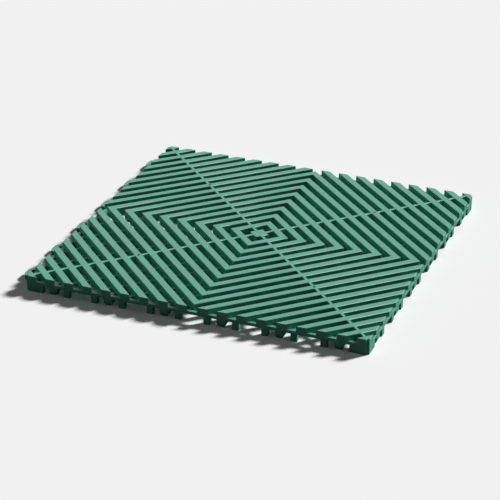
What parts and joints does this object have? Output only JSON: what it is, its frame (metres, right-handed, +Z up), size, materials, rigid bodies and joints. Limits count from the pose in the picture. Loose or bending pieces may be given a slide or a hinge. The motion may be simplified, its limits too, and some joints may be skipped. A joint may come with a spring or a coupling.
{
  "type": "interlocking drainage tile",
  "caption": "Square interlocking drainage tile in green moulded plastic, an open grille of diagonal slats on short legs.",
  "frame": {"origin": "on the floor, under the middle of the tile", "axes": "+Z up through the walking surface; the pegs are on the -Y and +X sides, the loops on the +Y and -X sides"},
  "size_m": [0.312, 0.312, 0.014],
  "materials": {
    "green_plastic": "satin"
  },
  "bodies": {
    "root": {"drainage_tile": "green_plastic"}
  },
  "joints": []
}
